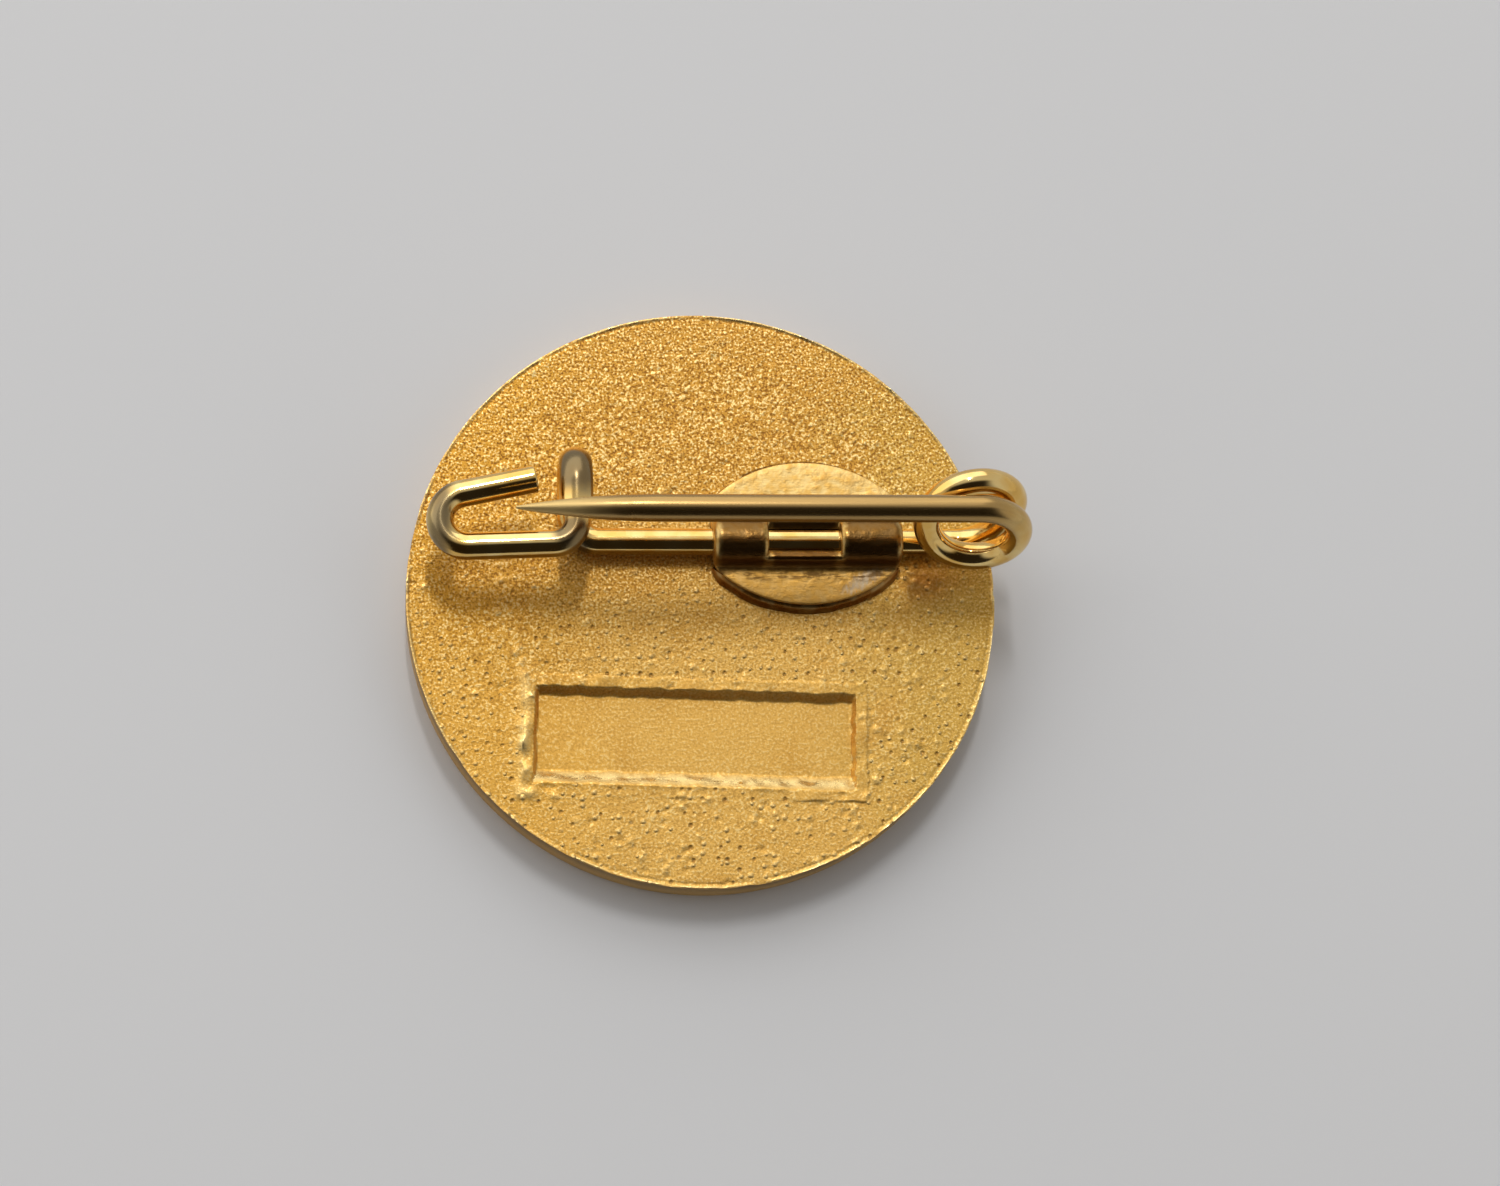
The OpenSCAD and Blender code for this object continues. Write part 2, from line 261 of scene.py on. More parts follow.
def blastedGilt():
    f = newFinish("blastedGilt")
    at = f.place()
    x, y = f.axes(at, 2)
    coarse = f.ramped(y - x * badge["coarseLean"], *badge["coarse"])  # the grain is coarser towards the top
    grain = f.noise(at, blasted["grain"], 1.0, 0.6)
    patch = f.noise(at, blasted["patch"], 3.0)
    pressed = f.mark("pressed")
    # more dark pits towards the top: the coarser grain, and partly a painted darkening of the brighter-lit
    # top
    pits = f.ramped(0 - grain, *blasted["pit"]) * (0.35 + coarse * 0.65) * (1 - pressed * 0.35)
    glints = f.ramped(grain, *blasted["glint"]) * (0.6 + coarse * 0.3) * (1 - pressed * 0.25)
    flaws = {"Vector": at, "Scale": blasted["flaws"]}
    apart = f.add("TexVoronoi", {"voronoi_dimensions": "2D"}, flaws)
    draw = f.add("TexVoronoi", {"voronoi_dimensions": "2D"}, flaws, 1)
    chance, kind = f.axes(draw, 2)
    unpressed = 1 - f.ramped(pressed, 0.0, 0.6)
    flock = f.ramped(patch, *blasted["flock"])  # the flaws lie in flocks, away from the coarse grain
    pock = 1 - f.ramped(apart * (0.4 + chance * 0.8), *blasted["flawSize"])
    pock = pock * f.ramped(chance, *blasted["flawShare"]) * flock * (1 - coarse * 0.8) * unpressed
    raised = f.ramped(kind, *blasted["raisedShare"])  # some flaws stand up, the others are hollows
    # painted shade: a dark line on the back just beyond the plate's upper edge, in the crevice between them
    fromX, fromY = x - plateX, y - (plateY + plateH / 2 - plate["curve"])
    beyond = (fromX * fromX + fromY * fromY) ** 0.5 - (plate["curve"] + paintedShade["lineAt"])
    creviceShade = f.ramped(y, wireY, wireY + paintedShade["lineFade"])
    creviceShade = creviceShade * (1 - f.ramped(beyond * beyond, 0.0, paintedShade["line"] ** 2))
    creviceShade = creviceShade * unpressed * f.ramped(patch, 0.3, 0.5) * (1 - f.ramped(fromX * fromX, *paintedShade["lineEnds"]))
    shine, coilShade, lipShade = f.mark("burnishAndHighlight"), f.mark("paintedShade"), f.mark("lipShade")
    colour = f.layered(
        gilt["deep"],
        # paler towards the bottom: partly real tone, partly a painted evening-out of the light, which falls
        # brighter on the top
        (f.ramped(patch - coarse * 0.5, 0.02, 0.55), "pale"),
        (f.ramped(patch * 8 - x, *blasted["amber"]) * 0.45, "amber"),
        (f.ramped(patch * 8 + x, *blasted["olive"]) * 0.4, "olive"),
        (pits, "stainAndShade"),
        (glints, "light"),
        # hollow flaws are darker; raised ones are painted paler, a painted highlight on their tops
        (pock * (1 - raised) * 0.7, "stainAndShade"),
        (pock * raised * 0.6, "light"),
        # burnish and painted highlight: paler gold
        (shine * 0.9, "light"),
        # painted shade under the coil
        (coilShade * 0.8, "paintedShade"),
        (f.ramped(pressed, *blasted["wall"]) * (0.35 + patch * 0.5), "handled"),
        # painted shade: the upper part of the rim's wall, under the back's edge, is darkened
        (lipShade * (0.4 + patch * 0.6), "darkBrown"),
        # painted crevice shade beyond the plate's edge
        (creviceShade * 0.85, "deepBrown"),
    )
    height = grain * (1 - pressed * 0.4) * 0.35 + pock * (raised * 2 - 1)
    return f.shaded({
        "Base Color": colour, "Metallic": 1.0,
        "Roughness": blasted["rough"] - glints * 0.14 - shine * 0.26 - coilShade * 0.15,
        "Normal": f.bumped(height, blasted["relief"]),
    })


drawnWire = {"lines": (0.25, 9.0, 1.0), "haze": 0.9, "worn": (0.35, 0.85), "rough": 0.07, "relief": 0.002}


def wireGilt():
    f = newFinish("polishedGilt")
    skin = f.add("TexCoord", {}, {}, 2)
    drawn = f.noise(f.scaled(skin, drawnWire["lines"]), 1.0, 3.0, 0.6)  # lines left by the drawing die
    haze = f.noise(skin, drawnWire["haze"], 3.0)
    handled, ground = f.mark("handled"), f.mark("ground")
    worn = f.ramped(f.mark("wear") + (haze - 0.5) * 0.6, *drawnWire["worn"])
    colour = f.layered(
        gilt["pale"],
        (f.ramped(haze, 0.3, 0.7), "light"),
        (handled * (0.75 + drawn * 0.5), "handled"),
        (worn * 0.85, "worn"),
        (ground * (0.3 + drawn * 0.5), "light"),
    )
    return f.shaded({
        "Base Color": colour, "Metallic": 1.0,
        "Roughness": drawnWire["rough"] + drawn * 0.1 + handled * 0.14 + worn * 0.12 + ground * 0.22,
        "Normal": f.bumped(drawn, drawnWire["relief"]),
    })


satin = {
    "rolled": (1.2, 7.0, 7.0), "brushed": (9.0, 3.0, 9.0), "dents": 4.0, "mottle": 1.7,
    "leftWear": (0.1, 0.4), "sideWear": (0.06, 0.3), "tunnel": (0.1, 0.5), "lower": (0.6, 1.1),
    "shadowFrom": (0.45, 0.75), "shadowTo": (0.95, 1.15),  # distances below the wire's middle
    "scuffFrom": (0.9, 1.05), "scuffTo": (1.3, 1.6), "scuffs": (0.62, 0.8),
    "smear": (5.97, 0.48), "smearSize": (0.9, 0.28), "smearWay": (0.85, 0.53), "smearEdge": (-0.4, 1.6),
    "rough": 0.4, "relief": 0.008,
}


def satinGilt():
    f = newFinish("satinGilt")
    at = f.place()
    rolled = f.noise(f.scaled(at, satin["rolled"]), 1.0, 3.0, 0.6)
    dents = f.noise(at, satin["dents"], 3.0)
    brushed = f.noise(f.scaled(at, satin["brushed"]), 1.0, 2.0)
    mottled = f.ramped(f.noise(at, satin["mottle"], 3.0, 0.6), 0.45, 0.7)
    x, y, z = f.axes(at)

    def rubbed(side, reach):  # wear along an edge that runs across the wire
        return 1 - f.ramped(abs(x - side) + (dents - 0.5) * 0.3, *reach)

    windowMid, windowHalf = plateX + plate["windowX"], plate["windowW"] / 2
    rim = rubbed(plateLow[0], satin["leftWear"])
    for side in (plateHigh[0], windowMid - windowHalf, windowMid + windowHalf):
        rim = rim.larger(rubbed(side, satin["sideWear"]))
    # the tunnel is darker: tarnish, and painted dark reflection
    tunnel = f.ramped(z - wingZ + (rolled - 0.5) * 0.5, *satin["tunnel"])
    below = wireY - y
    lower = f.ramped(below, *satin["lower"])
    ragged = below + (rolled - 0.5) * 0.5
    # painted shadow: a dark band on the lower wing, below the tunnel
    tunnelShadow = f.ramped(below, *satin["shadowFrom"]) * (1 - f.ramped(ragged, *satin["shadowTo"]))
    scuffs = f.ramped(below, *satin["scuffFrom"]) * (1 - f.ramped(below, *satin["scuffTo"]))
    scuffs = scuffs * f.ramped(rolled + dents * 0.4, *satin["scuffs"])
    smearX, smearY = x - satin["smear"][0], y - satin["smear"][1]
    cosine, sine = satin["smearWay"]
    along = (smearX * cosine + smearY * sine) * (1 / satin["smearSize"][0])
    across = (smearY * cosine - smearX * sine) * (1 / satin["smearSize"][1])
    away = along * along + across * across + (brushed - 0.5) * 3.0
    smear = lower * (1 - f.ramped(away, *satin["smearEdge"]))
    colour = f.layered(
        gilt["light"],
        (0.2 + f.ramped(dents, 0.3, 0.7) * 0.7, "pale"),
        (mottled * 0.5, "deep"),
        (lower * (0.35 + brushed * 0.5), "deep"),
        (smear * 0.65, "silver"),
        (scuffs * 0.85, "darkBrown"),
        # tarnish and painted dark reflection on the tunnel
        (tunnel * (0.9 - rim * 0.5), "deepBrown"),
        # painted shadow below the tunnel
        (tunnelShadow * (0.85 - rim * 0.4), "deepBrown"),
    )
    return f.shaded({
        "Base Color": colour, "Metallic": 1.0, "Roughness": satin["rough"] + rolled * 0.16 - tunnel * 0.18,
        "Normal": f.bumped(rolled + dents + mottled, satin["relief"]),
    })


dulled = {"flow": 2.2, "bare": (0.4, 0.65), "rough": 0.2, "relief": 0.012}


def dullSolder():
    f = newFinish("dullSolder")
    flow = f.noise(f.place(), dulled["flow"], 3.0)
    return f.shaded({
        "Base Color": f.layered(gilt["stainAndShade"], (f.ramped(flow, *dulled["bare"]), "handled")),
        "Metallic": 1.0, "Roughness": dulled["rough"] + flow * 0.2,
        "Normal": f.bumped(flow, dulled["relief"]),
    })


enamel = {
    "colours": {
        "enamel_red": (0.27, 0.008, 0.016, 1),
        "enamel_ivory": (0.84, 0.79, 0.66, 1),
        "enamel_blue": (0.012, 0.075, 0.34, 1),
    },
    "cloud": 0.8, "dark": 0.72, "pores": 6.0, "poreShare": (0.74, 0.8), "poreDark": 0.6,
    "rough": 0.08, "poreRough": 0.3, "coat": 0.6, "coatRough": 0.04, "ior": 1.52, "relief": 0.006,
}


def firedEnamel(name, colour):
    f = newFinish(name)
    at = f.place()
    cloud = f.noise(at, enamel["cloud"], 4.0, 0.6)
    pores = f.ramped(f.noise(at, enamel["pores"], 1.0), *enamel["poreShare"])
    dark = tuple(c * enamel["dark"] for c in colour[:3]) + (1,)
    shade = f.mixed(f.ramped(cloud, 0.3, 0.7), dark, colour)
    return f.shaded({
        "Base Color": f.mixed(pores * enamel["poreDark"], shade, dark),
        "Roughness": enamel["rough"] + pores * enamel["poreRough"],
        "Coat Weight": enamel["coat"], "Coat Roughness": enamel["coatRough"], "IOR": enamel["ior"],
        "Normal": f.bumped(cloud - pores, enamel["relief"]),
    })


# Badge body: struck disc with a blasted back, a stamped recess and the metal lines of its face
badge = {
    "cell": 0.076, "rimSides": 900, "bandSlack": 0.1, "seed": 5,
    "band": (0.5, 0.42, 0.35, 0.29, 0.24, 0.2, 0.16, 0.12, 0.09, 0.06, 0.03, 0.01),  # rings in from the edge
    "wallRings": (0.04, 0.2), "footRing": 0.05, "frontEdge": 0.4, "lineRound": 0.035, "cellDepth": 0.6,
    "grit": 0.0035, "gritSize": 0.1, "grain": 0.004, "grainSize": 0.2, "dents": 0.008, "dentSize": 2.4,
    "coarse": (-6.0, 8.0), "coarseLean": 0.25,
    "bumps": 420, "bumpR": (0.08, 0.12), "bumpRise": 0.25,
    "pits": 300, "pitR": (0.08, 0.11), "pitDepth": 0.3,
    "flaws": (4.0, -6.0), "flawsLean": 0.35, "flawsLeast": 0.12, "flock": (-0.8, 0.3), "flockSize": 1.1,
    "dish": (-0.1, 0.02), "lip": 0.03, "lipIn": 0.05, "lipWidth": 0.05, "lipBlend": 0.12,
    "groove": 0.6, "grooveIn": 0.18, "burrSize": 0.2,
    "nick": 0.035, "nickStep": 9.0, "nickIn": 0.12, "nickDown": 0.4,
    "shear": 0.012, "shearStep": 3.0, "shearEnds": 0.3, "wallShine": 0.12, "wallPressed": 2.0,
}
stamp = {
    "width": 11.9, "height": 3.65, "depth": 0.3, "margin": 1.65, "x": -0.4, "turn": -2.0,
    "runTop": 0.3, "runLow": 0.55, "runAlong": 0.13, "straight": 0.65, "uneven": 0.032, "unevenSize": 0.3,
    "rim": 0.42, "rimRise": 0.035, "rimEdge": 0.035, "rimLumps": 0.5,
    "flatter": 0.85, "flatterV": (-1.7, -2.0), "flatterU": (3.9, 3.2),
    "ridge": 0.06, "ridgeAt": 0.36, "ridgeWidth": 0.24, "ridgeU": (-5.6, -6.1),
    "lines": (0.03, 0.08, 0.15, 0.22, 0.29, 0.33, 0.36, 0.39, 0.42, 0.45, 0.48, 0.53), "lineStep": 0.045,
}
# painted shade: a dark line beyond the plate's upper edge, and a reddish-brown patch under the coil
paintedShade = {
    "lineAt": 0.14, "line": 0.06, "lineFade": 0.5, "lineEnds": (5.0, 6.0),
    "stainAndShade": (8.3, 0.45), "coilShadeSize": 0.75, "coilShadeLong": 1.4, "coilShadeDepth": 0.75, "coilShadeLow": (-0.3, -0.2),
}
stamp["y"] = stamp["height"] / 2 - math.sqrt((badgeR - stamp["margin"]) ** 2 - (stamp["width"] / 2) ** 2)


def stampPlace(x, y):  # along and across the recess, from its middle
    turn = math.radians(stamp["turn"])
    dx, dy = x - stamp["x"], y - stamp["y"]
    return dx * math.cos(turn) + dy * math.sin(turn), dy * math.cos(turn) - dx * math.sin(turn)


def strewn(count, sizes, seed, weight):  # places and radii of small flaws, thinned by a weight
    rng = np.random.default_rng(seed)
    r, a = badgeR * np.sqrt(rng.random(count)), rng.random(count) * math.tau
    x, y = r * np.cos(a), r * np.sin(a)
    kept = rng.random(count) < weight(x, y)
    return np.c_[x, y, rng.uniform(*sizes, count)][kept]


def dished(x, y):  # the back is a little hollow
    low, high = badge["dish"]
    return low + (high - low) * (x * x + y * y) / badgeR ** 2


def struck(run, inside):  # wall of the recess: straight, with eased ends
    straight = stamp["straight"]
    return straight * np.clip(inside / run, 0, 1) + (1 - straight) * eased(0, run, inside)


def flawShare(x, y):  # flaws lie in flocks, most of them towards the lower edge
    flock = eased(*badge["flock"], lumps(x, y, badge["flockSize"], badge["seed"] + 10))
    low = eased(*badge["flaws"], y - badge["flawsLean"] * x)
    return flock * (badge["flawsLeast"] + (1 - badge["flawsLeast"]) * low)


def backSkin(x, y):  # height of the back's skin, its burnish and painted highlight, and how pressed it is
    seed = badge["seed"]
    u, v = stampPlace(x, y)
    rough = stamp["uneven"] * lumps(u, v, stamp["unevenSize"], seed + 7)
    insideU, insideV = stamp["width"] / 2 - np.abs(u) + rough, stamp["height"] / 2 - np.abs(v) + rough
    across = np.where(v > 0, struck(stamp["runTop"], insideV), struck(stamp["runLow"], insideV))
    recess = np.minimum(struck(stamp["runAlong"], insideU), across)
    inside = np.minimum(insideU, insideV)
    uneven = 0.6 + 0.4 * lumps(x, y, stamp["rimLumps"], seed + 6)
    rim = eased(-stamp["rim"] - stamp["rimEdge"], -stamp["rim"] + stamp["rimEdge"], inside) * uneven
    rim = rim * (1 - stamp["flatter"] * eased(*stamp["flatterV"], v) * eased(*stamp["flatterU"], u))
    ridge = bell(inside + stamp["ridgeAt"], stamp["ridgeWidth"]) * eased(*stamp["ridgeU"], u) * uneven
    coarse = 0.4 + 0.6 * eased(*badge["coarse"], y - badge["coarseLean"] * x)
    grain = badge["grit"] * lumps(x, y, badge["gritSize"], seed)
    grain = grain + badge["grain"] * lumps(x, y, badge["grainSize"], seed + 1)
    z = coarse * grain * (1 - 0.5 * recess)
    z = z + badge["dents"] * lumps(x, y, badge["dentSize"], seed + 2)
    z = z + stamp["rimRise"] * rim * (1 - recess) - stamp["depth"] * recess
    z = z + stamp["ridge"] * ridge * (1 - recess)
    # painted highlight: the recess's lower wall, which faces the light, and the ridge and bumps are made
    # paler and smoother
    shine = 4 * recess * (1 - recess) * (v < 0) + 0.7 * ridge * (1 - recess)
    for bx, by, r in strewn(badge["bumps"], badge["bumpR"], seed + 3, flawShare):
        bump = bell(np.hypot(x - bx, y - by), r) * (1 - recess)
        z, shine = z + badge["bumpRise"] * r * bump, shine + 0.3 * bump
    for bx, by, r in strewn(badge["pits"], badge["pitR"], seed + 4, flawShare):
        z = z - badge["pitDepth"] * r * bell(np.hypot(x - bx, y - by), r) * (1 - recess)
    a, inward = np.arctan2(y, x), badgeR - np.hypot(x, y)
    burr = 0.55 + 0.45 * lumps(a * 4, a * 0, badge["burrSize"], seed + 5)
    lip = bell(inward - badge["lipIn"], badge["lipWidth"])
    groove = badge["groove"] * bell(inward - badge["grooveIn"], badge["lipWidth"])
    z = z * eased(0, badge["lipBlend"], inward) + badge["lip"] * burr * (lip - groove)
    return backZ + dished(x, y) + z, np.clip(shine + burr * lip, 0, 1), np.maximum(recess, rim)


def shadeUnderCoil(x, y, z):  # painted shade: a reddish-brown patch on the back beside the plate, under the coil
    coilShadeX, coilShadeY = paintedShade["stainAndShade"]
    away = np.hypot((x - coilShadeX) / paintedShade["coilShadeLong"], y - coilShadeY)
    return paintedShade["coilShadeDepth"] * bell(away, paintedShade["coilShadeSize"]) * eased(*paintedShade["coilShadeLow"], z - backZ)


def gradedLines(half, walls, run):  # grid lines, closer together at the recess walls
    inner = np.linspace(-run - stamp["lines"][0], 0, int(run / stamp["lineStep"]) + 2)
    fine = np.concatenate([inner, stamp["lines"]])
    step = badge["cell"]
    lines = np.arange(-half, half, step)
    for near in (walls + fine, -walls - fine[::-1]):
        lines = lines[(lines < near[0] - step / 3) | (lines > near[-1] + step / 3)]
        lines = np.concatenate([lines, near])
    return np.sort(lines)


def ringPoints(radius, sides):
    a = np.arange(sides) / sides * math.tau
    return np.c_[radius * np.cos(a), radius * np.sin(a)]


def ringFaces(first, second, sides):  # quads between two rings of points
    k = np.arange(sides)
    n = (k + 1) % sides
    return np.c_[first + k, first + n, second + n, second + k].tolist()


def glassLoops(node):  # outlines of an enamel node's flat face, metal on their left
    mesh = frame["nodes"][node].data
    points = np.array([v.co for v in mesh.vertices]) / mm
    low = points[:, 2].min() + 0.001
    places, ids = {}, []
    for p in points:
        ids.append(places.setdefault((round(p[0], 4), round(p[1], 4), p[2] < low), len(places)))
    edges = set()
    for polygon in mesh.polygons:
        loop = [ids[i] for i in polygon.vertices]
        if all(points[i, 2] < low for i in polygon.vertices):
            edges.update(zip(loop, loop[1:] + loop[:1]))
    follow = {a: b for a, b in edges if (b, a) not in edges}
    at = np.array([p[:2] for p in places])
    loops = []
    while follow:
        start = here = next(iter(follow))
        loop = []
        while here in follow:
            loop.append(here)
            here = follow.pop(here)
        loops.append(at[loop])
    return loops


def widened(loop, distance):  # moves an outline to its left
    ahead = unit(np.roll(loop, -1, 0) - loop)
    behind = np.roll(ahead, 1, 0)
    left = np.c_[-ahead[:, 1], ahead[:, 0]] + np.c_[-behind[:, 1], behind[:, 0]]
    sharp = np.maximum(1 + (ahead * behind).sum(1, keepdims=True), 0.35)  # keeps sharp corners from spiking
    return loop + distance * left / sharp


def insideLoop(points, loop):
    x, y = points[:, :1], points[:, 1:]
    a, b = loop, np.roll(loop, -1, 0)
    spans = (a[:, 1] > y) != (b[:, 1] > y)
    cross = a[:, 0] + (y - a[:, 1]) / (b[:, 1] - a[:, 1] + 1e-12) * (b[:, 0] - a[:, 0])
    return (spans & (x < cross)).sum(1) % 2 == 1


def triangulated(loops):  # joined points of outlines, and the triangles between them
    points = np.concatenate(loops)
    edges, first = [], 0
    for loop in loops:
        n = len(loop)
        edges += [(first + i, first + (i + 1) % n) for i in range(n)]
        first += n
    _, _, faces, sources, _, _ = delaunay_2d_cdt([Vector(p) for p in points], edges, [], 0, 1e-7)
    number = [s[0] if s else -1 for s in sources]
    triangles = np.array([[number[i] for i in face] for face in faces])
    return points, triangles[(triangles >= 0).all(1)]


def makeBadge(finish):
    turn, sides = math.radians(stamp["turn"]), badge["rimSides"]
    half = badgeR + math.hypot(stamp["x"], stamp["y"])
    lineU = gradedLines(half, stamp["width"] / 2, stamp["runAlong"])
    lineV = gradedLines(half, stamp["height"] / 2, stamp["runLow"])
    gridU, gridV = np.meshgrid(lineU, lineV)
    x = stamp["x"] + gridU * math.cos(turn) - gridV * math.sin(turn)
    y = stamp["y"] + gridU * math.sin(turn) + gridV * math.cos(turn)
    near = np.hypot(x, y) < badgeR - badge["band"][0] - badge["bandSlack"]
    cells = near[:-1, :-1] & near[1:, :-1] & near[:-1, 1:] & near[1:, 1:]
    corner = np.arange(gridU.size).reshape(gridU.shape)
    around = (corner[:-1, :-1], corner[:-1, 1:], corner[1:, 1:], corner[1:, :-1])
    quads = np.stack([c[cells] for c in around], 1)
    used, quads = np.unique(quads, return_inverse=True)
    quads = quads.reshape(-1, 4)
    flat = np.c_[x.ravel()[used], y.ravel()[used]]

    # Rings of the outer band, then down the wall to the face
    along, still = np.arange(sides), np.zeros(sides)
    nick = lumps(along / badge["nickStep"], still, 1.0, badge["seed"] + 8)
    nick = badge["nick"] * np.clip(nick, 0, 1) ** 2
    rings, heights, shines = [], [], []
    for gap in badge["band"]:
        nicked = nick * eased(badge["nickIn"], 0, gap)
        rings.append(ringPoints(badgeR - gap, sides) * (1 - nicked / badgeR)[:, None])
        high, shine, _ = backSkin(rings[-1][:, 0], rings[-1][:, 1])
        heights.append(high)
        shines.append(shine)
    shear = badge["shear"] * lumps(along / badge["shearStep"], still, 1.0, badge["seed"] + 9)
    shear = np.clip(shear, -badge["shear"], 0)
    front, halfway, belowEdge = badge["frontEdge"], backZ / 2, backZ - badge["wallRings"][1]
    shearLow, shearHigh = front + badge["shearEnds"], backZ - badge["shearEnds"]
    wall = [(0.0, backZ - down) for down in badge["wallRings"]]
    wall += [(0.0, halfway), (0.0, front + badge["footRing"])]
    for t in np.linspace(0, math.pi / 2, 8):  # round the front edge
        wall.append((front * (1 - math.cos(t)), front * (1 - math.sin(t))))
    sheen, lipShade = [], []
    for gap, z in wall:
        drag = shear * eased(shearLow, shearHigh, z) - nick * eased(backZ - badge["nickDown"], backZ, z)
        rings.append(ringPoints(badgeR - gap, sides) * (1 + drag / badgeR)[:, None])
        heights.append(np.full(sides, z))
        shines.append(np.full(sides, badge["wallShine"]))
        sheen.append(np.full(sides, 1 + (badge["wallPressed"] - 1) * eased(0.2 * front, front, z)))
        # painted shade, darker towards the top of the wall, under the back's edge
        lipShade.append(np.full(sides, eased(halfway, belowEdge, z)))
    ringStart = len(flat) + sides * np.arange(len(rings))

    # Stitch between the grid's stepped edge and the first ring
    follow = dict(openEdges(quads))
    step = [next(iter(follow))]
    while follow[step[-1]] != step[0]:
        step.append(follow[step[-1]])
    _, stitch = triangulated([flat[step], rings[0]])
    numbers = np.concatenate([step, ringStart[0] + np.arange(sides)])
    middle = np.concatenate([flat[step], rings[0]])[stitch].mean(1)
    stitch = numbers[stitch][~insideLoop(middle, flat[step])]

    # Face: metal lines with rounded edges round each enamel cell
    loops = [loop for node in slotOf if node.startswith("enamel") for loop in glassLoops(node)]
    lips = [widened(loop, badge["lineRound"]) for loop in loops]
    lipPoints, faceTriangles = triangulated([rings[-1]] + lips)
    middle = lipPoints[faceTriangles].mean(1)
    inCell = sum(insideLoop(middle, lip).astype(int) for lip in lips) % 2 == 1
    lipStart = ringStart[-1] + sides
    count = len(lipPoints) - sides
    lipNumbers = np.concatenate([ringStart[-1] + np.arange(sides), lipStart + np.arange(count)])
    floorNumbers = np.concatenate([np.zeros(sides, int), lipStart + 2 * count + np.arange(count)])
    cellPoints = np.concatenate(loops)

    faces = quads.tolist() + stitch.tolist()
    for a, b in zip(ringStart[:-1], ringStart[1:]):
        faces += ringFaces(a, b, sides)
    faces += lipNumbers[faceTriangles[~inCell]].tolist() + floorNumbers[faceTriangles[inCell]].tolist()
    first = lipStart
    for loop in loops:
        n = len(loop)
        faces += ringFaces(first, first + count, n) + ringFaces(first + count, first + 2 * count, n)
        first += n
    high, shine, pressed = backSkin(flat[:, 0], flat[:, 1])
    points = np.concatenate([
        np.c_[flat, high],
        *[np.c_[ring, z] for ring, z in zip(rings, heights)],
        np.c_[lipPoints[sides:], np.zeros(count)],
        np.c_[cellPoints, np.full(count, badge["lineRound"])],
        np.c_[cellPoints, np.full(count, badge["cellDepth"])],
    ])
    onBand = np.zeros(sides * len(badge["band"]))
    marks = {
        "burnishAndHighlight": np.concatenate([shine, *shines, np.ones(3 * count)]),
        "pressed": np.concatenate([pressed, onBand, *sheen, np.ones(3 * count)]),
        "paintedShade": shadeUnderCoil(points[:, 0], points[:, 1], points[:, 2]),
        "lipShade": np.concatenate([0 * pressed, onBand, *lipShade, np.zeros(3 * count)]),
    }
    piece = makePiece("badgeBody", "badge_body", points, faces, finish, marks=marks, crease=50)
    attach(piece, "badge")


# Bridge plate: stamped sheet with a half-round tunnel over the wire and a window in its top
plate = {
    "curve": 5.0, "gap": 0.03, "fillet": 0.2, "arcRound": 0.06, "endRound": 0.28, "step": 0.1, "rowsEach": 14,
    "windowW": 2.7, "windowH": 1.44, "windowX": -0.15, "windowRound": 0.17,
    "curl": (0, 0.02, 0.08, 0.2, 0.38, 0.65, 1.0),  # rows across a rounded edge, as shares of its radius
    "dent": 0.008, "dentSize": 0.9, "dentIn": 0.4, "leastT": 0.05, "seed": 21,
}
plateX, plateY = (plateLow[0] + plateHigh[0]) / 2, (plateLow[1] + plateHigh[1]) / 2
plateW, plateH = plateHigh[0] - plateLow[0], plateHigh[1] - plateLow[1]
ridgeR = plateHigh[2] - baseZ
sheetT = ridgeR - wireR - plate["gap"]
wingZ = plateLow[2] + sheetT


def plateEdge(x, side):  # the curved edge above (1) or below (-1) the pin
    rise = np.sqrt(np.maximum(plate["curve"] ** 2 - (x - plateX) ** 2, 0))
    return plateY + side * (plateH / 2 - plate["curve"] + rise)


def plateSection():  # profile across the pin: wing, fillet, tunnel, fillet, wing
    f, far = plate["fillet"], plateH
    rise = wingZ + f - baseZ
    foot = math.sqrt((ridgeR + f) ** 2 - rise ** 2)
    lean = math.atan2(rise, foot)
    bend = np.linspace(0, math.pi / 2 - lean, 12)
    arc = np.linspace(lean, math.pi / 2, 24)[1:]
    half = [(far, wingZ)] + [(foot - f * math.sin(t), wingZ + f - f * math.cos(t)) for t in bend]
    half += [(ridgeR * math.cos(t), baseZ + ridgeR * math.sin(t)) for t in arc]
    right = np.array(half)
    left = (right * (-1, 1))[::-1][1:]
    line = np.concatenate([right, left])[::-1]
    line[:, 0] += wireY
    return line


def stepped(a, b, step):  # even steps from a to b, ends left out
    n = max(int(abs(b - a) / step), 2)
    return np.linspace(a, b, n + 1)[1:-1]


